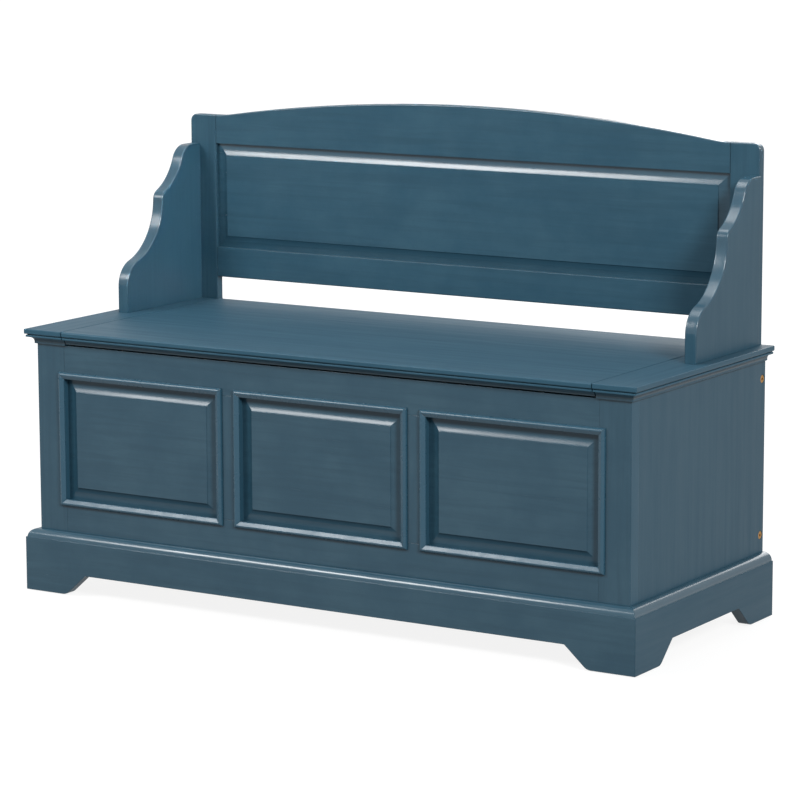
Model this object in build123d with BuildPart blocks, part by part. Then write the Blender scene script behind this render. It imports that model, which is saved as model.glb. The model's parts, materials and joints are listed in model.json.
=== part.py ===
from build123d import *
from math import cos, radians, sin
import os

# Lift-lid storage bench: panelled front, bracket-foot plinth, scalloped arms and a panelled back.
# Millimetres, +Z up. The origin is on the floor under the middle, and the front faces -Y.

os.makedirs("parts", exist_ok=True)

# Chest
chest_width = 1127.0
chest_depth = 458.0
seat_height = 447.5
case_lift = 45.0
side_thickness = 16.0
back_thickness = 16.0
back_inset = 2.0
floor_thickness = 9.0
floor_gap = 0.5
cleat_size = 18.0

# Plinth
plinth_thickness = 19.0
plinth_height = 106.0
plinth_round = 13.5
plinth_quirk = 2.0
foot_width = 83.5
foot_slope = 40.0
arch_height = 37.5
arch_corner = 4.0
toe_corner = 18.0
foot_block = 30.0
glide_radius = 12.0
glide_height = 2.0
glide_chamfer = 0.6

# Panelled front
frame_thickness = 25.0
stile_width = 55.5
muntin_width = 46.0
top_rail_width = 56.3
bottom_rail_show = 55.0
groove_depth = 9.0
groove_setback = 9.0
tongue_gap = 0.5
panel_fit = 0.2
panel_tongue = 6.0
panel_raise = 7.0
panel_cove = 20.0
panel_shoulder = 0.8
panel_margin = 21.5
joint_chamfer = 0.4

# Applied moulding round each front panel
moulding_width = 11.25
moulding_lap = 11.25
moulding_wall = 1.0
moulding_round = 5.0
moulding_inner = 2.5
mitre_gap = 0.2

# Top: two fixed strips with the lid between them
top_thickness = 13.5
top_overhang = 16.0
nose_height = 8.5
nose_step = 2.0
bead_height = 3.4
bead_chamfer = 1.0
quirk_depth = 2.0
strip_round = 1.4
lid_round = 3.0
cove_height = 11.5
cove_land = 3.5
cove_radius = 8.5
seam = 2.0
lid_setback = 9.0
lid_lift = 3.0
strip_cleat = 20.0
batten_width = 50.0
batten_thickness = 12.0
batten_inset = 281.5
batten_end_gap = 30.0
bumper_radius = 5.0
bumper_inset = 101.5

# Back
post_inset = 7.0
post_width = 53.0
post_thickness = 16.0
post_height = 326.5
post_round = 12.0
seat_gap = 40.0
lower_rail_width = 52.7
crest_end = 50.2
crest_rise = 37.0
crest_land = 17.5
crest_blend = 100.0
back_groove_setback = 7.0
back_tongue = 5.0
back_raise = 5.5
back_cove = 19.6
back_shoulder = 0.8
back_margin = 20.4
back_end_margin = 21.5
back_ease = 2.0
back_chamfer = 0.8
back_joint_gap = 0.4

# Arms: a flat, then rounds and hollows in turn down to the upright front edge
arm_inset = 5.0
arm_thickness = 21.0
arm_height = 275.0
arm_reach = 221.0
arm_flat = 23.5
shoulder_radius = 35.0
upper_hollow_radius = 98.0
knuckle_radius = 18.0
front_radius = 45.0
shoulder_angle_deg = 68.0
upper_hollow_angle_deg = 25.0
knuckle_angle_deg = 88.0
lower_hollow_angle_deg = 18.0
arm_ease = 2.5

# Hinges
hinge_rail_depth = 30.0
hinge_rail_height = 40.0
hinge_inset = 171.5
hinge_length = 60.0
hinge_setback = 5.0
barrel_radius = 3.0
barrel_gap = 0.4
barrel_room = 1.3
pin_radius = 1.5
pin_fit = 0.1
pin_head_radius = 2.4
pin_head = 1.0
barrel_count = 5
leaf_thickness = 1.5
leaf_depth = 30.0
leaf_play = 0.4
hinge_screw_setback = 21.0
hinge_screw_spacing = 22.0

# Fasteners
hole_fit = 0.1
hinge_screw_radius = 1.6
hinge_screw_head = 2.9
hinge_screw_length = 12.0
post_screw_radius = 2.3
post_screw_head = 4.4
post_screw_length = 50.0
post_screw_edge = 14.0
dowel_radius = 4.0
dowel_length = 30.0
dowel_end_gap = 0.5
dowel_in_stile = 14.0
dowel_in_post = 15.0
dowel_in_post_face = 11.0
dowel_in_strip = 10.0
stile_dowel_inset = 55.0
lower_dowel_inset = 12.0
crest_dowel_inset = 19.0
rail_dowel_pitch = 20.0
arm_dowel_low = 60.0
arm_dowel_high = 45.0
arm_dowel_front = 50.0
arm_dowel_rear = 48.0
bolt_radius = 3.0
bolt_head_radius = 6.75
bolt_head = 3.0
bolt_recess = 0.5
bolt_socket = 4.6
bolt_length = 50.0
bolt_top_inset = 41.0
bolt_low_inset = 29.0
barrel_nut_radius = 5.0
barrel_nut_length = 11.0
barrel_nut_reach = 28.0

# Positions that follow from the sizes above
half = chest_width / 2
rear = (chest_depth + plinth_thickness) / 2
chest_front = rear - chest_depth
frame_back = chest_front + frame_thickness
plinth_front = chest_front - plinth_thickness
plinth_half = half + plinth_thickness
inner_half = half - side_thickness
back_face = rear - back_inset - back_thickness
back_middle = rear - back_inset - back_thickness / 2

top_underside = seat_height - top_thickness
nose_underside = seat_height - nose_height
bead_top = top_underside + bead_height
chest_top = top_underside - cove_height
cove_out = cove_land + cove_radius
nose_front = chest_front - top_overhang
nose_half = half + top_overhang
nose_layers = (
    (top_underside, bead_top, nose_step),
    (bead_top, nose_underside, nose_step + quirk_depth),
    (nose_underside, seat_height, 0),
)

opening_half = half - stile_width
opening_low = plinth_height + bottom_rail_show
opening_high = chest_top - top_rail_width
opening_width = (2 * opening_half - 2 * muntin_width) / 3
opening_height = opening_high - opening_low
opening_middle = (opening_low + opening_high) / 2
panel_pitch = opening_width + muntin_width
groove_width = panel_tongue + 2 * panel_fit
groove_y = chest_front + groove_setback + groove_width / 2
tongue_length = groove_depth - tongue_gap
side_top = top_underside
bolt_upper = side_top - bolt_top_inset
bolt_lower = plinth_height + bolt_low_inset

post_outer = half - post_inset
post_inner = post_outer - post_width
post_front = rear - post_thickness
post_middle = rear - post_thickness / 2
post_top = seat_height + post_height
lower_rail_low = seat_height + seat_gap
lower_rail_high = lower_rail_low + lower_rail_width
crest_low = post_top - crest_end
crest_peak = post_top + crest_rise
back_rail_half = post_inner - back_joint_gap
back_groove = back_tongue + 2 * panel_fit
back_groove_y = post_front + back_groove_setback + back_groove / 2

lid_half = post_inner - seam
lid_rear = rear - lid_setback
batten_middle = lid_half - batten_inset
bumper_spacing = 2 * (lid_half - bumper_inset)
hinge_spacing = 2 * (lid_half - hinge_inset)
arm_outer = half - arm_inset
arm_middle = arm_outer - arm_thickness / 2

hinge_y = rear - hinge_setback
hinge_z = top_underside - leaf_thickness - leaf_play / 2
case_leaf_low = hinge_z - leaf_play / 2 - leaf_thickness
leaf_rear = hinge_y - barrel_radius - barrel_gap
leaf_front = hinge_y - leaf_depth
barrel_pitch = hinge_length / barrel_count
hinge_screw_y = hinge_y - hinge_screw_setback
back_top = case_leaf_low
floor_low = case_lift + cleat_size

sides = {"left": -1, "right": 1}


def save(piece, name):
    """Label a finished piece and write it out."""
    piece.part.label = name
    export_step(piece.part, f"parts/{name}.step")


def span(side, near, far):
    """Limits along X of something lying between two distances from the middle."""
    return sorted((side * near, side * far))


def board(x, y, z):
    """Square-edged board between two limits along each axis."""
    with BuildPart() as piece:
        with BuildSketch(Plane.XY.offset(z[0])):
            with Locations(((x[0] + x[1]) / 2, (y[0] + y[1]) / 2)):
                Rectangle(x[1] - x[0], y[1] - y[0])
        extrude(amount=z[1] - z[0])
    return piece


def group(single, places, name):
    """Several copies of one fastener, each standing on its own plane."""
    with BuildPart() as pieces:
        with Locations(*places):
            add(single.part)
    save(pieces, name)


# Dowel joints: a point on the joint, the way out of the first piece, and the depth in the first piece
def front_joints(side):
    """Side board to front stile."""
    low = case_lift + stile_dowel_inset
    high = chest_top - stile_dowel_inset
    x = side * (half - side_thickness / 2)
    out = Vector(0, 1, 0)
    return [(Vector(x, frame_back, z), out, dowel_in_stile) for z in (low, (low + high) / 2, high)]


def lower_rail_joints(side):
    """Back post to lower back rail."""
    low = lower_rail_low + lower_dowel_inset
    out = Vector(-side, 0, 0)
    x = side * post_inner
    return [(Vector(x, post_middle, z), out, dowel_in_post) for z in (low, low + rail_dowel_pitch)]


def crest_joints(side):
    """Back post to crest rail."""
    low = crest_low + crest_dowel_inset
    out = Vector(-side, 0, 0)
    x = side * post_inner
    return [(Vector(x, post_middle, z), out, dowel_in_post) for z in (low, low + rail_dowel_pitch)]


def arm_foot_joints(side):
    """End strip to arm."""
    places = (post_front - arm_dowel_rear, post_front - arm_reach + arm_dowel_front)
    out = Vector(0, 0, 1)
    return [(Vector(side * arm_middle, y, seat_height), out, dowel_in_strip) for y in places]


def arm_back_joints(side):
    """Back post to arm."""
    heights = (seat_height + arm_dowel_low, seat_height + arm_height - arm_dowel_high)
    out = Vector(0, -1, 0)
    return [(Vector(side * arm_middle, post_front, z), out, dowel_in_post_face) for z in heights]


def drill_first(joints):
    """Dowel holes in the first piece of a joint."""
    for point, out, depth in joints:
        with Locations(Plane(origin=point, z_dir=out)):
            Hole(dowel_radius + hole_fit, depth=depth + dowel_end_gap)


def drill_second(joints):
    """Dowel holes in the second piece of a joint."""
    for point, out, depth in joints:
        with Locations(Plane(origin=point, z_dir=out * -1)):
            Hole(dowel_radius + hole_fit, depth=dowel_length - depth + dowel_end_gap)


# Plinth
def plinth_board(face, low, high, plan):
    """Plinth board on the plane of its outer face: feet, arch, moulded top edge and mitred ends."""
    section = Plane(origin=face.origin, x_dir=face.z_dir, z_dir=face.x_dir * -1)
    above = Plane(origin=face.origin, x_dir=face.x_dir, z_dir=face.y_dir * -1)
    with BuildPart() as piece:
        with BuildSketch(face) as view:
            with BuildLine():
                Polyline(
                    (low, plinth_height),
                    (low, glide_height),
                    (low + foot_width, glide_height),
                    (low + foot_width + foot_slope, arch_height),
                    (high - foot_width - foot_slope, arch_height),
                    (high - foot_width, glide_height),
                    (high, glide_height),
                    (high, plinth_height),
                    close=True,
                )
            make_face()
            fillet(view.vertices().group_by(Axis.Y)[0].sort_by(Axis.X)[1:3], toe_corner)
            fillet(view.vertices().filter_by(lambda v: abs(v.Y - arch_height) < 0.01), arch_corner)
        extrude(amount=-plinth_thickness)
        with BuildSketch(section):
            with BuildLine():
                Polyline(
                    (-plinth_quirk - plinth_round, plinth_height),
                    (-plinth_quirk - plinth_round, plinth_height + 1),
                    (1, plinth_height + 1),
                    (1, plinth_height - plinth_round),
                    (-plinth_quirk, plinth_height - plinth_round),
                )
                TangentArc(
                    (-plinth_quirk, plinth_height - plinth_round),
                    (-plinth_quirk - plinth_round, plinth_height),
                    tangent=(0, 1),
                )
            make_face()
        extrude(amount=chest_width, both=True, mode=Mode.SUBTRACT)
        with BuildSketch(above):
            with BuildLine():
                Polyline(*plan, close=True)
            make_face()
        extrude(amount=2 * plinth_height, both=True, mode=Mode.INTERSECT)
    return piece


front_face = Plane(origin=(0, plinth_front, 0), x_dir=(1, 0, 0), z_dir=(0, -1, 0))
front_plan = [
    (-half, -plinth_thickness),
    (half, -plinth_thickness),
    (plinth_half, 0),
    (-plinth_half, 0),
]
save(plinth_board(front_face, -plinth_half, plinth_half, front_plan), "plinth_front")

right_face = Plane(origin=(plinth_half, 0, 0), x_dir=(0, 1, 0), z_dir=(1, 0, 0))
right_plan = [
    (chest_front, -plinth_thickness),
    (rear, -plinth_thickness),
    (rear, 0),
    (plinth_front, 0),
]
save(plinth_board(right_face, plinth_front, rear, right_plan), "plinth_right")

left_face = Plane(origin=(-plinth_half, 0, 0), x_dir=(0, -1, 0), z_dir=(-1, 0, 0))
left_plan = [(-along, out) for along, out in right_plan]
save(plinth_board(left_face, -rear, -plinth_front, left_plan), "plinth_left")

# Foot blocks behind the bracket feet, with a glide under each
block_fronts = {"front": chest_front, "rear": rear - back_inset - foot_block}
glide_places = []
for side_name, side in sides.items():
    for end_name, block_front in block_fronts.items():
        block = board(
            span(side, half - foot_block, half),
            (block_front, block_front + foot_block),
            (glide_height, case_lift),
        )
        save(block, f"foot_block_{end_name}_{side_name}")
        glide_places.append(Location((side * (half - foot_block / 2), block_front + foot_block / 2, 0)))

with BuildPart() as glide:
    with BuildSketch():
        Circle(glide_radius)
    extrude(amount=glide_height)
    chamfer(glide.edges().sort_by(Axis.Z)[0], glide_chamfer)
group(glide, glide_places, "foot_glides")


# Panelled front
def front_stile(side):
    """Upright at the end of the front frame, grooved along its inner edge."""
    with BuildPart() as piece:
        with BuildSketch(Plane.XY.offset(case_lift)):
            with Locations((side * (half - stile_width / 2), chest_front + frame_thickness / 2)):
                Rectangle(stile_width, frame_thickness)
            with Locations((side * (opening_half + groove_depth / 2), groove_y)):
                Rectangle(groove_depth, groove_width, mode=Mode.SUBTRACT)
        extrude(amount=chest_top - case_lift)
        drill_first(front_joints(side))
    return piece


def front_rail(grooved, plain):
    """Level member of the front frame, grooved along one edge, with stub tongues at both ends."""
    groove_end = grooved + groove_depth if grooved < plain else grooved - groove_depth
    with BuildPart() as piece:
        with BuildSketch(Plane.YZ):
            with Locations((chest_front + frame_thickness / 2, (grooved + plain) / 2)):
                Rectangle(frame_thickness, abs(grooved - plain))
            with Locations((groove_y, (grooved + groove_end) / 2)):
                Rectangle(groove_width, groove_depth, mode=Mode.SUBTRACT)
        extrude(amount=opening_half, both=True)
        ends = piece.edges().filter_by(Axis.Z).group_by(Axis.Y)[0]
        chamfer(ends, joint_chamfer)
        with BuildSketch(Plane.YZ):
            with Locations((groove_y, (groove_end + plain) / 2)):
                Rectangle(panel_tongue, abs(groove_end - plain))
        extrude(amount=opening_half + tongue_length, both=True)
    return piece


def front_muntin(middle):
    """Short upright between two front panels, grooved along both edges."""
    with BuildPart() as piece:
        with BuildSketch(Plane.XY.offset(opening_low)):
            with Locations((middle, chest_front + frame_thickness / 2)):
                Rectangle(muntin_width, frame_thickness)
            with Locations((middle, groove_y)):
                with GridLocations(muntin_width - groove_depth, 1, 2, 1):
                    Rectangle(groove_depth, groove_width, mode=Mode.SUBTRACT)
        extrude(amount=opening_height)
        ends = piece.faces().sort_by(Axis.Y)[0].edges().filter_by(Axis.X)
        chamfer(ends, joint_chamfer)
        with BuildSketch(Plane.XY.offset(opening_low - tongue_length)):
            with Locations((middle, groove_y)):
                Rectangle(muntin_width - 2 * groove_depth, panel_tongue)
        extrude(amount=opening_height + 2 * tongue_length)
    return piece


def raised_panel(back, width, height, field, tongue, rise, cove, shoulder):
    """Panel on the plane of its back: a raised field with coved borders down to a flat tongue."""
    across = Plane(origin=back.origin, x_dir=back.x_dir, z_dir=back.y_dir * -1)
    along = Plane(origin=back.origin, x_dir=back.y_dir, z_dir=back.x_dir)
    top = tongue + rise
    with BuildPart() as piece:
        with BuildSketch(back):
            Rectangle(width, height)
        extrude(amount=top)
        for plane, field_half in ((across, field[0] / 2), (along, field[1] / 2)):
            with BuildSketch(plane):
                with BuildLine():
                    Polyline(
                        (field_half, top - shoulder),
                        (field_half, top + 1),
                        (width, top + 1),
                        (width, tongue),
                        (field_half + cove, tongue),
                    )
                    TangentArc((field_half + cove, tongue), (field_half, top - shoulder), tangent=(-1, 0))
                make_face()
                mirror(about=Plane.YZ)
            extrude(amount=width, both=True, mode=Mode.SUBTRACT)
    return piece


def moulding_pair(section, face, reach, length):
    """Two opposite strips of a moulding frame, their ends cut to a mitre."""
    with BuildPart() as piece:
        with BuildSketch(section):
            with BuildLine():
                Polyline(
                    (reach, moulding_wall),
                    (reach, 0),
                    (reach - moulding_width, 0),
                    (reach - moulding_width, moulding_inner),
                    (reach - moulding_round, moulding_wall + moulding_round),
                )
                TangentArc(
                    (reach, moulding_wall),
                    (reach - moulding_round, moulding_wall + moulding_round),
                    tangent=(0, 1),
                )
            make_face()
            mirror(about=Plane.YZ)
        extrude(amount=length / 2, both=True)
        with BuildSketch(face):
            with BuildLine():
                Polyline(
                    (reach, length / 2 - mitre_gap),
                    (reach, mitre_gap - length / 2),
                    (reach - moulding_width, mitre_gap + moulding_width - length / 2),
                    (reach - moulding_width, length / 2 - moulding_width - mitre_gap),
                    close=True,
                )
            make_face()
            mirror(about=Plane.YZ)
        extrude(amount=moulding_wall + moulding_round, mode=Mode.INTERSECT)
    return piece


def moulding_frame(middle):
    """Four mitred strips laid over the edge of one front opening."""
    origin = (middle, chest_front, opening_middle)
    width = opening_width + 2 * moulding_lap
    height = opening_height + 2 * moulding_lap
    uprights = moulding_pair(
        Plane(origin=origin, x_dir=(1, 0, 0), z_dir=(0, 0, -1)),
        Plane(origin=origin, x_dir=(1, 0, 0), z_dir=(0, -1, 0)),
        width / 2,
        height,
    )
    levels = moulding_pair(
        Plane(origin=origin, x_dir=(0, 0, 1), z_dir=(1, 0, 0)),
        Plane(origin=origin, x_dir=(0, 0, 1), z_dir=(0, -1, 0)),
        height / 2,
        width,
    )
    with BuildPart() as frame:
        add(uprights.part)
        add(levels.part)
    return frame


for side_name, side in sides.items():
    save(front_stile(side), f"front_stile_{side_name}")
    save(front_muntin(side * panel_pitch / 2), f"front_muntin_{side_name}")

save(front_rail(opening_high, chest_top), "front_top_rail")
save(front_rail(opening_low, case_lift), "front_bottom_rail")

panel_back = chest_front + groove_setback + panel_fit + panel_tongue
panel_field = (opening_width - 2 * panel_margin, opening_height - 2 * panel_margin)
for panel_name, step in {"left": -1, "middle": 0, "right": 1}.items():
    front_panel = raised_panel(
        Plane(origin=(step * panel_pitch, panel_back, opening_middle), x_dir=(1, 0, 0), z_dir=(0, -1, 0)),
        opening_width + 2 * tongue_length,
        opening_height + 2 * tongue_length,
        panel_field,
        panel_tongue,
        panel_raise,
        panel_cove,
        panel_shoulder,
    )
    save(front_panel, f"front_panel_{panel_name}")
    save(moulding_frame(step * panel_pitch), f"front_moulding_{panel_name}")


# Chest sides, back and floor
def bolt_planes(side):
    """Where the bolts enter one side board, facing outward."""
    return [
        Plane(origin=(side * half, back_middle, z), z_dir=(side, 0, 0)) for z in (bolt_lower, bolt_upper)
    ]


def chest_side(side):
    """Side board, doweled to the stile and bolted to the back board."""
    limits = span(side, inner_half, half)
    with BuildPart() as piece:
        with BuildSketch(Plane.XY.offset(case_lift)):
            with Locations((sum(limits) / 2, (frame_back + rear) / 2)):
                Rectangle(side_thickness, rear - frame_back)
        extrude(amount=side_top - case_lift)
        front_edge = piece.edges().filter_by(Axis.Z).group_by(Axis.Y)[0].sort_by(Axis.X)[-1 if side > 0 else 0]
        chamfer(front_edge, joint_chamfer)
        drill_second(front_joints(side))
        with Locations(*bolt_planes(side)):
            CounterBoreHole(
                bolt_radius + hole_fit,
                bolt_head_radius + 3 * hole_fit,
                bolt_head + bolt_recess,
                depth=side_thickness,
            )
    return piece


for side_name, side in sides.items():
    save(chest_side(side), f"side_{side_name}")

with BuildPart() as back:
    with BuildSketch(Plane.XY.offset(case_lift)):
        with Locations((0, back_middle)):
            Rectangle(2 * inner_half, back_thickness)
    extrude(amount=back_top - case_lift)
    rebate_low = hinge_z - barrel_radius - barrel_room
    rebate_front = hinge_y - barrel_radius - barrel_room
    with BuildSketch(Plane.XY.offset(rebate_low)):
        with Locations((0, (rebate_front + rear) / 2)):
            Rectangle(2 * inner_half, rear - rebate_front)
    extrude(amount=back_top - rebate_low, mode=Mode.SUBTRACT)
    nut_depth = (back_thickness + barrel_nut_length) / 2 + dowel_end_gap
    for side in sides.values():
        for z in (bolt_lower, bolt_upper):
            with Locations(Plane(origin=(side * inner_half, back_middle, z), z_dir=(side, 0, 0))):
                Hole(bolt_radius + hole_fit, depth=bolt_length)
            nut_x = side * (inner_half - barrel_nut_reach)
            with Locations(Plane(origin=(nut_x, back_face, z), z_dir=(0, -1, 0))):
                Hole(barrel_nut_radius + hole_fit, depth=nut_depth)
save(back, "back_board")

with BuildPart() as hinge_rail:
    with BuildSketch(Plane.XY.offset(back_top - hinge_rail_height)):
        with Locations((0, back_face - hinge_rail_depth / 2)):
            Rectangle(2 * inner_half, hinge_rail_depth)
    extrude(amount=hinge_rail_height)
    with Locations((0, hinge_screw_y, back_top)):
        with GridLocations(hinge_spacing, 1, 2, 1):
            with GridLocations(hinge_screw_spacing, 1, 2, 1):
                Hole(hinge_screw_radius + hole_fit, depth=hinge_screw_length)
save(hinge_rail, "hinge_rail")

floor_panel = board(
    (floor_gap - inner_half, inner_half - floor_gap),
    (frame_back + floor_gap, back_face - floor_gap),
    (floor_low, floor_low + floor_thickness),
)
save(floor_panel, "floor_panel")

cleat_heights = (case_lift, floor_low)
cleat_front = frame_back + cleat_size
cleat_rear = back_face - cleat_size
save(board((-inner_half, inner_half), (frame_back, cleat_front), cleat_heights), "floor_cleat_front")
save(board((-inner_half, inner_half), (cleat_rear, back_face), cleat_heights), "floor_cleat_rear")
for side_name, side in sides.items():
    cleat_width = span(side, inner_half - cleat_size, inner_half)
    save(board(cleat_width, (cleat_front, cleat_rear), cleat_heights), f"floor_cleat_{side_name}")


# Top
def post_screw_planes(side):
    """Where the screws enter an end strip from below, facing down."""
    distances = (post_inner + post_screw_edge, post_outer - post_screw_edge)
    return [Plane(origin=(side * x, post_middle, top_underside), z_dir=(0, 0, -1)) for x in distances]


def end_strip(side):
    """Fixed end of the top with a moulded nose along its front and outer edges."""
    with BuildPart() as piece:
        for low, high, set_back in nose_layers:
            limits = span(side, post_inner, nose_half - set_back)
            with BuildSketch(Plane.XY.offset(low)):
                with Locations((sum(limits) / 2, (nose_front + set_back + rear) / 2)):
                    Rectangle(limits[1] - limits[0], rear - nose_front - set_back)
            extrude(amount=high - low)
        nose = [piece.faces().sort_by(Axis.Y)[0], piece.faces().sort_by(Axis.X)[-1 if side > 0 else 0]]
        edges = ShapeList(nose[0].edges().filter_by(Axis.X) + nose[1].edges().filter_by(Axis.Y))
        fillet(edges, strip_round)
        bead = piece.edges().filter_by(lambda e: abs(e.center().Z - bead_top) < 0.01)
        chamfer(bead.filter_by(Axis.X).sort_by(Axis.Y)[0], bead_chamfer)
        bead = piece.edges().filter_by(Axis.Y).filter_by(lambda e: abs(e.center().Z - bead_top) < 0.01)
        chamfer(bead.sort_by(Axis.X)[-1 if side > 0 else 0], bead_chamfer)
        drill_first(arm_foot_joints(side))
        with Locations(*post_screw_planes(side)):
            CounterSinkHole(
                post_screw_radius + hole_fit,
                post_screw_head + hole_fit,
                depth=top_thickness,
                counter_sink_angle=90,
            )
    return piece


def cove_run(section, backing, lift, plan):
    """Length of cove moulding on a plane with x outward from the chest and y up."""
    with BuildPart() as piece:
        with BuildSketch(section):
            with BuildLine():
                Polyline(
                    (cove_land, top_underside - cove_radius),
                    (cove_land, chest_top),
                    (-backing, chest_top),
                    (-backing, top_underside),
                    (cove_out, top_underside),
                )
                TangentArc(
                    (cove_land, top_underside - cove_radius),
                    (cove_out, top_underside),
                    tangent=(0, 1),
                )
            make_face()
        extrude(amount=chest_width, both=True)
        with BuildSketch(Plane.XY.offset(chest_top + lift)):
            with BuildLine():
                Polyline(*plan, close=True)
            make_face()
        extrude(amount=cove_height, mode=Mode.INTERSECT)
    return piece


front_section = Plane(origin=(0, chest_front, 0), x_dir=(0, -1, 0), z_dir=(-1, 0, 0))


def strip_cove(side):
    """Cove moulding under an end strip: a run along the side and a mitred return along the front."""
    side_section = Plane(origin=(side * half, 0, 0), x_dir=(side, 0, 0), z_dir=(0, -side, 0))
    side_plan = [
        (side * half, chest_front),
        (side * (half + cove_out), chest_front - cove_out),
        (side * (half + cove_out), rear),
        (side * half, rear),
    ]
    return_plan = [
        (side * post_inner, chest_front - cove_out),
        (side * (half + cove_out - mitre_gap), chest_front - cove_out),
        (side * (half - mitre_gap), chest_front),
        (side * (half - mitre_gap), frame_back),
        (side * post_inner, frame_back),
    ]
    side_run = cove_run(side_section, 0, 0, side_plan)
    front_return = cove_run(front_section, frame_thickness, 0, return_plan)
    with BuildPart() as piece:
        add(side_run.part)
        add(front_return.part)
    return piece


for side_name, side in sides.items():
    save(end_strip(side), f"strip_{side_name}")
    save(strip_cove(side), f"strip_cove_{side_name}")
    cleat = board(
        span(side, inner_half - strip_cleat, inner_half),
        (frame_back, back_face - hinge_rail_depth),
        (top_underside - strip_cleat, top_underside),
    )
    save(cleat, f"strip_cleat_{side_name}")

lid_pilot = hinge_screw_length - leaf_thickness + dowel_end_gap
with BuildPart() as lid_board:
    for low, high, set_back in nose_layers:
        with BuildSketch(Plane.XY.offset(low)):
            with Locations((0, (nose_front + set_back + lid_rear) / 2)):
                Rectangle(2 * lid_half, lid_rear - nose_front - set_back)
        extrude(amount=high - low)
    nose_edges = lid_board.faces().sort_by(Axis.Y)[0].edges().filter_by(Axis.X).sort_by(Axis.Z)
    fillet(nose_edges[-1], lid_round)
    fillet(lid_board.faces().sort_by(Axis.Y)[0].edges().filter_by(Axis.X).sort_by(Axis.Z)[0], strip_round)
    lid_bead = lid_board.edges().filter_by(Axis.X).filter_by(lambda e: abs(e.center().Z - bead_top) < 0.01)
    chamfer(lid_bead.sort_by(Axis.Y)[0], bead_chamfer)
    with Locations(Plane(origin=(0, hinge_screw_y, top_underside), z_dir=(0, 0, -1))):
        with GridLocations(hinge_spacing, 1, 2, 1):
            with GridLocations(hinge_screw_spacing, 1, 2, 1):
                Hole(hinge_screw_radius + hole_fit, depth=lid_pilot)
save(lid_board, "lid_board")

lid_cove_plan = [
    (-lid_half, chest_front - cove_out),
    (lid_half, chest_front - cove_out),
    (lid_half, frame_back),
    (-lid_half, frame_back),
]
save(cove_run(front_section, frame_thickness, lid_lift, lid_cove_plan), "lid_cove")

for side_name, side in sides.items():
    batten = board(
        span(side, batten_middle - batten_width / 2, batten_middle + batten_width / 2),
        (frame_back + batten_end_gap, back_face - hinge_rail_depth - batten_end_gap),
        (top_underside - batten_thickness, top_underside),
    )
    save(batten, f"lid_batten_{side_name}")

with BuildPart() as bumpers:
    with BuildSketch(Plane.XY.offset(chest_top)):
        with Locations((0, chest_front + frame_thickness / 2)):
            with GridLocations(bumper_spacing, 1, 2, 1):
                Circle(bumper_radius)
    extrude(amount=lid_lift)
save(bumpers, "lid_bumpers")


# Back
def back_post(side):
    """Back post with a rounded outer top corner, grooved for the back panel."""
    limits = span(side, post_inner, post_outer)
    with BuildPart() as piece:
        with BuildSketch(Plane.XZ.offset(-rear)) as view:
            with Locations((sum(limits) / 2, seat_height + post_height / 2)):
                Rectangle(post_width, post_height)
            top_corners = view.vertices().group_by(Axis.Y)[-1].sort_by(Axis.X)
            fillet(top_corners[-1 if side > 0 else 0], post_round)
        extrude(amount=post_thickness)
        rims = piece.faces().sort_by(Axis.Y)[0].edges() + piece.faces().sort_by(Axis.Y)[-1].edges()
        eased = rims.filter_by(
            lambda e: e.center().Z > seat_height + 1 and abs(e.center().X) > post_inner + 1
        )
        fillet(eased, back_ease)
        inner_edge = piece.edges().filter_by(Axis.Z).filter_by(
            lambda e: abs(abs(e.center().X) - post_inner) < 0.01 and e.center().Y < post_middle
        )
        chamfer(inner_edge, back_chamfer)
        with BuildSketch(Plane.XY.offset(lower_rail_high - groove_depth)):
            with Locations((side * (post_inner + groove_depth / 2), back_groove_y)):
                Rectangle(groove_depth, back_groove)
        extrude(amount=crest_low - lower_rail_high + 2 * groove_depth, mode=Mode.SUBTRACT)
        drill_first(lower_rail_joints(side) + crest_joints(side) + arm_back_joints(side))
        for plane in post_screw_planes(side):
            with Locations(plane.offset(-top_thickness)):
                Hole(post_screw_radius + hole_fit, depth=post_screw_length - top_thickness + dowel_end_gap)
    return piece


with BuildPart() as crest:
    with BuildSketch(Plane.XZ.offset(-rear)) as crest_view:
        with BuildLine():
            Polyline(
                (crest_land - post_inner, post_top),
                (-back_rail_half, post_top),
                (-back_rail_half, crest_low),
                (back_rail_half, crest_low),
                (back_rail_half, post_top),
                (post_inner - crest_land, post_top),
            )
            ThreePointArc(
                (post_inner - crest_land, post_top),
                (0, crest_peak),
                (crest_land - post_inner, post_top),
            )
        make_face()
        arch_ends = crest_view.vertices().filter_by(
            lambda v: v.Y > crest_low + 1 and abs(v.X) < post_inner - 1
        )
        fillet(arch_ends, crest_blend)
    extrude(amount=post_thickness)
    crest_rims = crest.faces().sort_by(Axis.Y)[0].edges() + crest.faces().sort_by(Axis.Y)[-1].edges()
    fillet(crest_rims.filter_by(lambda e: e.center().Z > post_top - 1), back_ease)
    chamfer(
        crest.edges().filter_by(Axis.Z).filter_by(lambda e: e.center().Y < post_front + 1),
        back_chamfer,
    )
    with BuildSketch(Plane.XY.offset(crest_low)):
        with Locations((0, back_groove_y)):
            Rectangle(2 * post_inner, back_groove)
    extrude(amount=groove_depth, mode=Mode.SUBTRACT)
    for side in sides.values():
        drill_second(crest_joints(side))
save(crest, "crest_rail")

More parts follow.
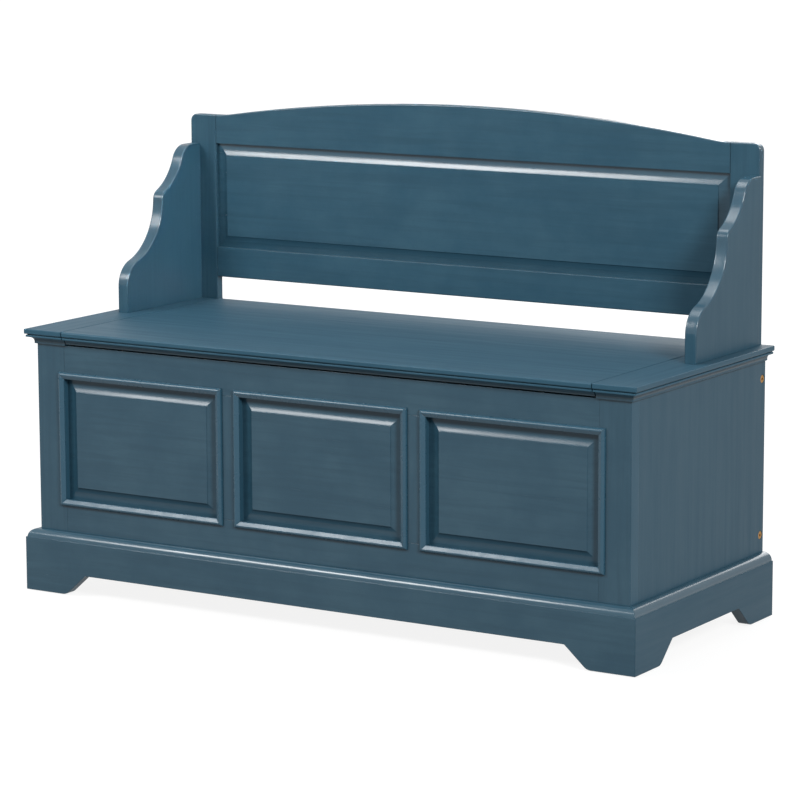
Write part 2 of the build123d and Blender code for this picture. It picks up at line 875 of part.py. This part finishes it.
with BuildPart() as lower_rail:
    with BuildSketch(Plane.XY.offset(lower_rail_low)):
        with Locations((0, post_middle)):
            Rectangle(2 * back_rail_half, post_thickness)
    extrude(amount=lower_rail_width)
    lower_front = lower_rail.faces().sort_by(Axis.Y)[0].edges()
    chamfer(lower_front.filter_by(Axis.Z) + lower_front.sort_by(Axis.Z)[-1:], back_chamfer)
    lower_rims = lower_rail.faces().sort_by(Axis.Z)[0].edges().filter_by(Axis.X)
    fillet(lower_rims, back_ease)
    with BuildSketch(Plane.XY.offset(lower_rail_high)):
        with Locations((0, back_groove_y)):
            Rectangle(2 * post_inner, back_groove)
    extrude(amount=-groove_depth, mode=Mode.SUBTRACT)
    for side in sides.values():
        drill_second(lower_rail_joints(side))
save(lower_rail, "backrest_lower_rail")

back_opening = crest_low - lower_rail_high
backrest_panel = raised_panel(
    Plane(
        origin=(0, back_groove_y + back_tongue / 2, (crest_low + lower_rail_high) / 2),
        x_dir=(1, 0, 0),
        z_dir=(0, -1, 0),
    ),
    2 * (post_inner + tongue_length),
    back_opening + 2 * tongue_length,
    (2 * (post_inner - back_end_margin), back_opening - 2 * back_margin),
    back_tongue,
    back_raise,
    back_cove,
    back_shoulder,
)
save(backrest_panel, "backrest_panel")


# Arms
def arm(side):
    """Scalloped arm: the lower hollow takes up whatever reach the other curves leave."""
    a1, a2, a3, a4 = (
        radians(angle)
        for angle in (shoulder_angle_deg, upper_hollow_angle_deg, knuckle_angle_deg, lower_hollow_angle_deg)
    )
    used = arm_flat + shoulder_radius * sin(a1) + upper_hollow_radius * (sin(a1) - sin(a2))
    used += knuckle_radius * (sin(a3) - sin(a2)) + front_radius * (1 - sin(a4))
    lower_hollow_radius = (arm_reach - used) / (sin(a3) - sin(a4))
    curves = [
        (shoulder_radius, shoulder_angle_deg),
        (upper_hollow_radius, upper_hollow_angle_deg - shoulder_angle_deg),
        (knuckle_radius, knuckle_angle_deg - upper_hollow_angle_deg),
        (lower_hollow_radius, lower_hollow_angle_deg - knuckle_angle_deg),
        (front_radius, 90 - lower_hollow_angle_deg),
    ]
    limits = span(side, arm_outer - arm_thickness, arm_outer)
    arm_top = seat_height + arm_height
    with BuildPart() as piece:
        with BuildSketch(Plane.YZ.offset(limits[0])):
            with BuildLine():
                run = Line((post_front, arm_top), (post_front - arm_flat, arm_top))
                for radius, turn in curves:
                    run = JernArc(run @ 1, run % 1, radius, turn)
                Polyline(
                    run @ 1,
                    (post_front - arm_reach, seat_height),
                    (post_front, seat_height),
                    (post_front, arm_top),
                )
            make_face()
        extrude(amount=arm_thickness)
        rims = piece.faces().filter_by(Axis.X).edges()
        eased = rims.filter_by(
            lambda e: e.center().Z > seat_height + 1 and e.center().Y < post_front - 1
        )
        fillet(eased, arm_ease)
        drill_second(arm_foot_joints(side) + arm_back_joints(side))
    return piece


for side_name, side in sides.items():
    save(back_post(side), f"post_{side_name}")
    save(arm(side), f"arm_{side_name}")


# Hinges
def hinge_leaf(middle, low, first, screw_side):
    """Leaf of a butt hinge: a plate with every second barrel and countersunk screw holes."""
    start = middle - hinge_length / 2
    with BuildPart() as piece:
        with BuildSketch(Plane.XY.offset(low)):
            with Locations((middle, (leaf_front + leaf_rear) / 2)):
                Rectangle(hinge_length, leaf_rear - leaf_front)
        extrude(amount=leaf_thickness)
        for index in range(first, barrel_count, 2):
            with BuildSketch(Plane.YZ.offset(start + index * barrel_pitch + barrel_gap / 2)):
                with Locations((hinge_y, hinge_z)):
                    Circle(barrel_radius)
                with Locations(((leaf_rear + hinge_y) / 2, low + leaf_thickness / 2)):
                    Rectangle(hinge_y - leaf_rear + 2 * barrel_gap, leaf_thickness)
            extrude(amount=barrel_pitch - barrel_gap)
        with BuildSketch(Plane.YZ.offset(start)):
            with Locations((hinge_y, hinge_z)):
                Circle(pin_radius + pin_fit)
        extrude(amount=hinge_length, mode=Mode.SUBTRACT)
        outer = low if screw_side < 0 else low + leaf_thickness
        with Locations(Plane(origin=(middle, hinge_screw_y, outer), z_dir=(0, 0, screw_side))):
            with GridLocations(hinge_screw_spacing, 1, 2, 1):
                CounterSinkHole(
                    hinge_screw_radius + hole_fit,
                    hinge_screw_head + hole_fit,
                    depth=leaf_thickness,
                    counter_sink_angle=90,
                )
    return piece


def screw(radius, head, length):
    """Countersunk screw with the flat of its head at the origin, pointing down."""
    with BuildPart() as piece:
        with BuildSketch(Plane.XZ):
            with BuildLine():
                Polyline(
                    (0, 0),
                    (head, 0),
                    (radius, radius - head),
                    (radius, 1.5 * radius - length),
                    (0, -length),
                    close=True,
                )
            make_face()
        revolve(axis=Axis.Z)
    return piece


hinge_screw = screw(hinge_screw_radius, hinge_screw_head, hinge_screw_length)
case_screw_places = []
lid_screw_places = []
for side_name, side in sides.items():
    hinge_middle = side * hinge_spacing / 2
    lid_leaf_low = top_underside - leaf_thickness
    save(hinge_leaf(hinge_middle, case_leaf_low, 0, 1), f"hinge_leaf_case_{side_name}")
    save(hinge_leaf(hinge_middle, lid_leaf_low, 1, -1), f"hinge_leaf_lid_{side_name}")
    for step in (-0.5, 0.5):
        screw_x = hinge_middle + step * hinge_screw_spacing
        case_head = (screw_x, hinge_screw_y, case_leaf_low + leaf_thickness)
        case_screw_places.append(Plane(origin=case_head, z_dir=(0, 0, 1)))
        lid_screw_places.append(Plane(origin=(screw_x, hinge_screw_y, lid_leaf_low), z_dir=(0, 0, -1)))
group(hinge_screw, case_screw_places, "hinge_screws_case")
group(hinge_screw, lid_screw_places, "hinge_screws_lid")

with BuildPart() as pins:
    for side in sides.values():
        pin_start = side * hinge_spacing / 2 - hinge_length / 2
        with BuildSketch(Plane.YZ.offset(pin_start - pin_head)):
            with Locations((hinge_y, hinge_z)):
                Circle(pin_radius)
        extrude(amount=hinge_length + 2 * pin_head)
        with BuildSketch(Plane.YZ.offset(pin_start - pin_head), Plane.YZ.offset(pin_start + hinge_length)):
            with Locations((hinge_y, hinge_z)):
                Circle(pin_head_radius)
        extrude(amount=pin_head)
save(pins, "hinge_pins")

# Bolts, barrel nuts, dowels and post screws
with BuildPart() as bolt:
    with BuildSketch(Plane.XY.offset(-bolt_recess)):
        Circle(bolt_head_radius)
    extrude(amount=-bolt_head)
    chamfer(bolt.edges().sort_by(Axis.Z)[-1], 0.5)
    with BuildSketch(Plane.XY.offset(-bolt_recess - bolt_head)):
        Circle(bolt_radius)
    extrude(amount=-bolt_length)
    with BuildSketch(Plane.XY.offset(-bolt_recess)):
        RegularPolygon(bolt_socket / 2, 6, major_radius=False)
    extrude(amount=-0.8 * bolt_head, mode=Mode.SUBTRACT)
group(bolt, [plane for side in sides.values() for plane in bolt_planes(side)], "case_bolts")

with BuildPart() as barrel_nut:
    with BuildSketch(Plane.XY):
        Circle(barrel_nut_radius)
    extrude(amount=barrel_nut_length / 2, both=True)
    with BuildSketch(Plane.XZ):
        Circle(bolt_radius + hole_fit)
    extrude(amount=2 * barrel_nut_radius, both=True, mode=Mode.SUBTRACT)
nut_places = [
    Plane(
        origin=(side * (inner_half - barrel_nut_reach), back_middle, z),
        x_dir=(0, 0, 1),
        z_dir=(0, 1, 0),
    )
    for side in sides.values()
    for z in (bolt_lower, bolt_upper)
]
group(barrel_nut, nut_places, "barrel_nuts")

with BuildPart() as dowel:
    with BuildSketch(Plane.XY):
        Circle(dowel_radius)
    extrude(amount=dowel_length)
dowel_places = []
for side in sides.values():
    joints = front_joints(side) + lower_rail_joints(side) + crest_joints(side)
    joints += arm_foot_joints(side) + arm_back_joints(side)
    dowel_places += [Plane(origin=point - out * depth, z_dir=out) for point, out, depth in joints]
group(dowel, dowel_places, "dowels")

post_screw = screw(post_screw_radius, post_screw_head, post_screw_length)
group(post_screw, [plane for side in sides.values() for plane in post_screw_planes(side)], "post_screws")
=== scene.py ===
import json
import math
from collections import namedtuple

import bpy
from mathutils import Matrix, Vector

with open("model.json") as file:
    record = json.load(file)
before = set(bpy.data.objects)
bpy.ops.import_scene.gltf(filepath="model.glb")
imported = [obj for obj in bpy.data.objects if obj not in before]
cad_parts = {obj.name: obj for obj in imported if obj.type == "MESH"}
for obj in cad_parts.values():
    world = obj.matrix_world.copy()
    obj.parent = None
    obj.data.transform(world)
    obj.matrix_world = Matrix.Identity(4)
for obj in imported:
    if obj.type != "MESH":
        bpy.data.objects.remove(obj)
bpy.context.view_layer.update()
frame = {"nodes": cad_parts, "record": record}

# Camera, fitted to the photograph: metres, degrees, and millimetres of lens and sensor
CAMERA_PLACE = (2.9535, -4.7202, 1.3043)
CAMERA_AZIMUTH = 31.90
CAMERA_ELEVATION = 9.80
CAMERA_ROLL = -0.20
CAMERA_LENS = 154.2
CAMERA_SENSOR = 36
CAMERA_REACH = 100

# Linear colours of paint and bare wood: the ground, its light clouds, its dark streaks and pores
BLUES = ((0.022, 0.068, 0.104), (0.031, 0.082, 0.119), (0.018, 0.054, 0.083))
PINES = ((0.52, 0.34, 0.18), (0.66, 0.47, 0.28), (0.36, 0.21, 0.10))
WHITE = (1, 1, 1, 1)

# Stretch of the grain: low along the board, or alike all ways on the thin front mouldings
GRAINS = {
    "x": (0.05, 1, 1),
    "y": (1, 0.05, 1),
    "z": (1, 1, 0.05),
    "even": (0.3, 0.3, 0.3),
}

# A brushed finish: specular level, roughness, strength of its clouds and streaks, relief of its brush
# marks, and the painted light and shade of its colours, where 1 is the paint's own colour
Sheen = namedtuple("Sheen", "specular dullness mottling relief lightness")
SHEENS = {
    "moulded": Sheen(0.48, 0.19, 1.3, 0.06, 1.0),
    # satin: its colours 0.93 as dark, a painted shade on the front and the other satin faces
    "satin": Sheen(0.30, 0.22, 1.5, 0.06, 0.93),
    # trim: its colours 1.15 as light, a painted highlight on the front mouldings
    "trim": Sheen(0.34, 0.28, 0.2, 0.02, 1.15),
    "flat": Sheen(0.15, 0.40, 1.5, 0.06, 1.0),
    "dull": Sheen(0.15, 0.40, 0.5, 0.05, 1.0),
    # edge: its colours 1.12 as light, a painted highlight on the front stiles' ends and the seat's edges
    "edge": Sheen(0.15, 0.40, 0.5, 0.05, 1.12),
    # seat: its colours 0.97 as dark, a painted shade on the seat's top; its dullness is the rubbed top
    "seat": Sheen(0.20, 0.54, 0.5, 0.04, 0.97),
}
SHEEN_ORDER = list(SHEENS)
BARE = Sheen(0.5, 0.6, 1.0, 0.5, 1.0)

# Texture of a brushed finish: noise scales, and sizes in metres
CLOUD_SCALE = 11
STREAK_SCALE = 95
PORE_SCALE = 620
SKIN_SCALE = 240
EDGE_RADIUS = 0.0012
EDGE_SAMPLES = 12
BRUSH_DEPTH = 0.0004

# Which way the grain runs: in uprights, in pieces that run front to back, and along the bench in the rest
UPRIGHT = ("front_stile", "front_muntin", "side_", "post_", "arm_", "foot_block")
FRONT_TO_BACK = (
    "strip_",
    "plinth_left",
    "plinth_right",
    "floor_cleat_left",
    "floor_cleat_right",
    "lid_batten",
)

# Painted pieces with a satin sheen all over, which also carries a painted shade, and those with a seat's
# rubbed top, which also carries a little painted shade
SATIN = ("front_", "lid_", "strip_")
SEAT = ("lid_board", "strip_left", "strip_right")

# Parts of a face's normal: square to an axis, turned down, turned up a little
SQUARE = 0.999
TURNED_DOWN = -0.3
TURNED_UP = 0.02

# Stage: metres, and levels where 1 is white
FLOOR_SIZE = 40
FLOOR_COLOUR = (0.12, 0.12, 0.12, 1)
FLOOR_DULLNESS = 0.9
FLOOR_FADE = (1.0, 3.5)
FLOOR_GLOW = (0.87, 0.96)
SURROUND_LEVEL = 0.3

# Soft lamps: place, aim, width and height in metres, watts, the way the height lies, and the beam's
# spread in degrees
Lamp = namedtuple("Lamp", "place aim width height watts upward spread", defaults=((0, 0, 1), 180))
MIDDLE = (0, 0, 0.4)
LAMPS = {
    "left_light": Lamp((-1.66, -2.06, 2.07), (-0.1, 0, 0.55), 1.2, 0.85, 60, (0, 0.6, 0.8)),
    "top_light": Lamp((-0.2, -0.1, 3.0), MIDDLE, 1.4, 0.9, 24, (1, 0, 0)),
    "right_light": Lamp((4.2, -2.8, 3.0), MIDDLE, 1.3, 1.3, 250),
    "back_light": Lamp((-0.3, 3.8, 2.4), MIDDLE, 2.6, 2.6, 60),
    "arm_light": Lamp((3.2, -0.55, 1.6), (-0.56, 0.08, 0.64), 0.5, 0.4, 0.42, spread=8),
}

# Colour sockets of Blender's Mix node
MIX_A, MIX_B, MIX_RESULT = 6, 7, 2


def add_node(tree, kind, inputs=(), **settings):
    """A shader node with its settings and input values."""
    node = tree.nodes.new("ShaderNode" + kind)
    for name, value in settings.items():
        setattr(node, name, value)
    for name, value in dict(inputs).items():
        if isinstance(value, bpy.types.NodeSocket):
            tree.links.new(value, node.inputs[name])
        else:
            node.inputs[name].default_value = value
    return node


def calculate(tree, operation, *values):
    """The result of a Math node."""
    return add_node(tree, "Math", dict(enumerate(values)), operation=operation).outputs[0]


def mix_colour(tree, factor, a, b):
    """The colour between a and b."""
    inputs = {"Factor": factor, MIX_A: a, MIX_B: b}
    return add_node(tree, "Mix", inputs, data_type="RGBA").outputs[MIX_RESULT]


def remap(tree, value, given, wanted):
    """A value moved from one range to another and held there."""
    inputs = {
        "Value": value,
        "From Min": given[0],
        "From Max": given[1],
        "To Min": wanted[0],
        "To Max": wanted[1],
    }
    return add_node(tree, "MapRange", inputs).outputs["Result"]


def noise(tree, place, scale, **shape):
    """Noise with a scale, and with the detail, roughness and distortion that are given."""
    inputs = {"Vector": place, "Scale": scale}
    inputs.update({name.capitalize(): value for name, value in shape.items()})
    return add_node(tree, "TexNoise", inputs).outputs["Fac"]


def object_place(tree):
    """Place on the piece, in metres."""
    return add_node(tree, "TexCoord").outputs["Object"]


def opaque(colour, lightness=1.0):
    """A colour lightened by painted light or darkened by painted shade, with its alpha."""
    return tuple(lightness * part for part in colour) + (1,)


def new_group(name, inputs, outputs):
    """An empty shader node group with named sockets."""
    group = bpy.data.node_groups.new(name, "ShaderNodeTree")
    for socket, kind in inputs.items():
        group.interface.new_socket(socket, in_out="INPUT", socket_type="NodeSocket" + kind)
    for socket, kind in outputs.items():
        group.interface.new_socket(socket, in_out="OUTPUT", socket_type="NodeSocket" + kind)
    start = group.nodes.new("NodeGroupInput")
    end = group.nodes.new("NodeGroupOutput")
    return group, start.outputs, end.inputs


def brushed_finish_group():
    """Brushed paint or wood: slow clouds, streaks along the grain, fine pores, and their small relief."""
    group, given, out = new_group(
        "Brushed finish",
        {
            "Place": "Vector",
            "Vector": "Vector",
            "Colour": "Color",
            "Light": "Color",
            "Dark": "Color",
            "Mottling": "Float",
            "Dullness": "Float",
        },
        {"Colour": "Color", "Roughness": "Float", "Height": "Float"},
    )
    clouds = noise(group, given["Place"], CLOUD_SCALE, detail=4, roughness=0.6)
    streaks = noise(group, given["Vector"], STREAK_SCALE, detail=4, roughness=0.6, distortion=0.4)
    pores = noise(group, given["Vector"], PORE_SCALE, detail=2, roughness=0.6)

    cloud_mask = remap(group, clouds, (0.38, 0.68), (0, 0.75))
    streak_mask = remap(group, streaks, (0.42, 0.70), (0, 0.4))
    pore_mask = remap(group, pores, (0.58, 0.74), (0, 0.35))
    cloud_mask = calculate(group, "MULTIPLY", cloud_mask, given["Mottling"])
    streak_mask = calculate(group, "MULTIPLY", streak_mask, given["Mottling"])
    colour = mix_colour(group, cloud_mask, given["Colour"], given["Light"])
    colour = mix_colour(group, streak_mask, colour, given["Dark"])
    colour = mix_colour(group, pore_mask, colour, given["Dark"])
    group.links.new(colour, out["Colour"])

    uneven = remap(group, streaks, (0.3, 0.7), (-0.05, 0.06))
    group.links.new(calculate(group, "ADD", given["Dullness"], uneven), out["Roughness"])
    group.links.new(calculate(group, "MULTIPLY_ADD", streaks, 0.6, pores), out["Height"])
    return group


BRUSHED = brushed_finish_group()


def principled(name, **values):
    """A material with its Principled shader's plain values set."""
    material = bpy.data.materials.new(name)
    material.use_nodes = True
    shader = material.node_tree.nodes["Principled BSDF"]
    for socket, value in values.items():
        shader.inputs[socket.replace("_", " ")].default_value = value
    return material, material.node_tree, shader


def brushed_material(name, stretch, colours, sheen):
    """Paint or wood with its grain along one axis, and softened edges."""
    material, tree, shader = principled(name, Specular_IOR_Level=sheen.specular)
    place = object_place(tree)
    grain = add_node(tree, "Mapping", {"Vector": place, "Scale": stretch})
    # Painted light and shade: each sheen makes these colours lighter or darker
    ground, light, dark = (opaque(colour, sheen.lightness) for colour in colours)
    brushed = add_node(
        tree,
        "Group",
        {
            "Place": place,
            "Vector": grain.outputs["Vector"],
            "Colour": ground,
            "Light": light,
            "Dark": dark,
            "Mottling": sheen.mottling,
            "Dullness": sheen.dullness,
        },
        node_tree=BRUSHED,
    )
    edge = add_node(tree, "Bevel", {"Radius": EDGE_RADIUS}, samples=EDGE_SAMPLES)
    bump = add_node(
        tree,
        "Bump",
        {
            "Height": brushed.outputs["Height"],
            "Strength": sheen.relief,
            "Distance": BRUSH_DEPTH,
            "Normal": edge.outputs["Normal"],
        },
    )
    tree.links.new(brushed.outputs["Colour"], shader.inputs["Base Color"])
    tree.links.new(brushed.outputs["Roughness"], shader.inputs["Roughness"])
    tree.links.new(bump.outputs["Normal"], shader.inputs["Normal"])
    return material


def metal_material(name, colour, tarnished, scale, rough):
    """Metal with a faint uneven tarnish."""
    material, tree, shader = principled(name, Metallic=1.0)
    tarnish = noise(tree, object_place(tree), scale, detail=4)
    mask = remap(tree, tarnish, (0.4, 0.7), (0, 0.6))
    tree.links.new(mix_colour(tree, mask, opaque(colour), opaque(tarnished)), shader.inputs["Base Color"])
    tree.links.new(remap(tree, tarnish, (0.3, 0.7), (rough, rough + 0.15)), shader.inputs["Roughness"])
    return material


def skin_material(name, colour, scuffed, rough):
    """Dark plastic or rubber with a scuffed, slightly grainy skin."""
    material, tree, shader = principled(name)
    skin = noise(tree, object_place(tree), SKIN_SCALE, detail=4)
    mask = remap(tree, skin, (0.45, 0.75), (0, 1))
    tree.links.new(mix_colour(tree, mask, opaque(colour), opaque(scuffed)), shader.inputs["Base Color"])
    tree.links.new(remap(tree, skin, (0.3, 0.7), (rough, rough + 0.2)), shader.inputs["Roughness"])
    return material


finishes = {
    "brass": metal_material("Brass bolts", (0.40, 0.21, 0.05), (0.20, 0.10, 0.03), 300, 0.32),
    "steel": metal_material("Hinge steel", (0.55, 0.55, 0.54), (0.40, 0.39, 0.37), 220, 0.30),
    "glide": skin_material("Glide plastic", (0.03, 0.03, 0.03), (0.07, 0.07, 0.07), 0.5),
    "bumper": skin_material("Bumper rubber", (0.02, 0.02, 0.02), (0.05, 0.05, 0.05), 0.6),
}
for axis, stretch in GRAINS.items():
    for name, sheen in SHEENS.items():
        finishes[name, axis] = brushed_material(f"Blue paint {name} {axis}", stretch, BLUES, sheen)
    finishes["bare_wood", axis] = brushed_material(f"Bare pine {axis}", stretch, PINES, BARE)


def grain_of(node):
    """The way the grain runs in a piece."""
    if node.startswith("front_moulding"):
        return "even"
    if node.startswith(UPRIGHT):
        return "z"
    return "y" if node.startswith(FRONT_TO_BACK) else "x"


def sheen_of(node, normal):
    """Sheen of a painted face: moulded work that faces up shines most, ends, undersides and back least;
    with the sheen come painted highlights on the trim and edges and painted shade on the front and seat.
    """
    square = max(abs(part) for part in normal) > SQUARE
    if node.startswith("front_moulding"):
        return "trim"
    if node in SEAT:
        return "seat" if normal.z > SQUARE else "edge"
    if normal.z < TURNED_DOWN:
        return "dull"
    if abs(normal.x) > SQUARE:
        return "edge" if node.startswith("front_stile") else "dull"
    if node.startswith(SATIN):
        return "satin"
    if normal.z > TURNED_UP and not square:
        return "moulded"
    return "satin" if node == "plinth_front" or not square else "flat"


slots = {row["node"]: row["material_slot"] for row in frame["record"]["subparts"]}
for node, piece in frame["nodes"].items():
    slot, axis = slots[node], grain_of(node)
    piece.data.materials.clear()
    if slot == "paint":
        for name in SHEEN_ORDER:
            piece.data.materials.append(finishes[name, axis])
        for face in piece.data.polygons:
            face.material_index = SHEEN_ORDER.index(sheen_of(node, face.normal))
    else:
        piece.data.materials.append(finishes[(slot, axis) if slot == "bare_wood" else slot])


def seen_ray(tree):
    """1 for rays that show the background: straight to the camera, mirrored or through glass."""
    rays = add_node(tree, "LightPath").outputs
    mirrored = calculate(tree, "MAXIMUM", rays["Is Glossy Ray"], rays["Is Transmission Ray"])
    return calculate(tree, "MAXIMUM", rays["Is Camera Ray"], mirrored)


def white_stage():
    """Floor that keeps the bench's shadow, seen as white by the camera and in reflections."""
    material, tree, shader = principled(
        "Pale floor", Base_Color=FLOOR_COLOUR, Roughness=FLOOR_DULLNESS, Emission_Color=WHITE
    )
    reach = add_node(tree, "VectorMath", {0: object_place(tree)}, operation="LENGTH")
    level = remap(tree, reach.outputs["Value"], FLOOR_FADE, FLOOR_GLOW)
    glow = calculate(tree, "MULTIPLY", seen_ray(tree), level)
    tree.links.new(glow, shader.inputs["Emission Strength"])
    bpy.ops.mesh.primitive_plane_add(size=FLOOR_SIZE, location=(0, 0, 0))
    floor = bpy.context.object
    floor.name = "floor"
    floor.data.materials.append(material)


def surround():
    """Even white light from all round, white to the camera."""
    world = bpy.data.worlds.new("Studio")
    bpy.context.scene.world = world
    world.use_nodes = True
    tree = world.node_tree
    background = tree.nodes["Background"]
    background.inputs["Color"].default_value = WHITE
    strength = remap(tree, seen_ray(tree), (0, 1), (SURROUND_LEVEL, 1.0))
    tree.links.new(strength, background.inputs["Strength"])


def placed(name, data, place, right, up, back):
    """A lamp or camera at a place, with its own three axes turned to the given ways."""
    thing = bpy.data.objects.new(name, data)
    bpy.context.scene.collection.objects.link(thing)
    turn = Matrix((right, up, back)).transposed().to_4x4()
    thing.matrix_world = Matrix.Translation(place) @ turn
    return thing


def softbox(name, lamp):
    """Rectangular soft light pointed at a place on the bench."""
    data = bpy.data.lights.new(name, "AREA")
    data.shape = "RECTANGLE"
    data.size = lamp.width
    data.size_y = lamp.height
    data.energy = lamp.watts
    data.spread = math.radians(lamp.spread)
    back = (Vector(lamp.place) - Vector(lamp.aim)).normalized()
    right = Vector(lamp.upward).cross(back).normalized()
    placed(name, data, lamp.place, right, back.cross(right), back)


def photo_camera():
    """Camera at the photograph's place, turned by its azimuth, elevation and roll."""
    azimuth, elevation, roll = map(math.radians, (CAMERA_AZIMUTH, CAMERA_ELEVATION, CAMERA_ROLL))
    back = Vector(
        (
            math.sin(azimuth) * math.cos(elevation),
            -math.cos(azimuth) * math.cos(elevation),
            math.sin(elevation),
        )
    )
    level = Vector((math.cos(azimuth), math.sin(azimuth), 0))
    right = level * math.cos(roll) + back.cross(level) * math.sin(roll)
    data = bpy.data.cameras.new("photo_camera")
    data.sensor_width = CAMERA_SENSOR
    data.lens = CAMERA_LENS
    data.clip_end = CAMERA_REACH
    camera = placed("photo_camera", data, CAMERA_PLACE, right, back.cross(right), back)
    bpy.context.scene.camera = camera


white_stage()
surround()
for name, lamp in LAMPS.items():
    softbox(name, lamp)
photo_camera()
bpy.context.scene.view_settings.view_transform = "Standard"
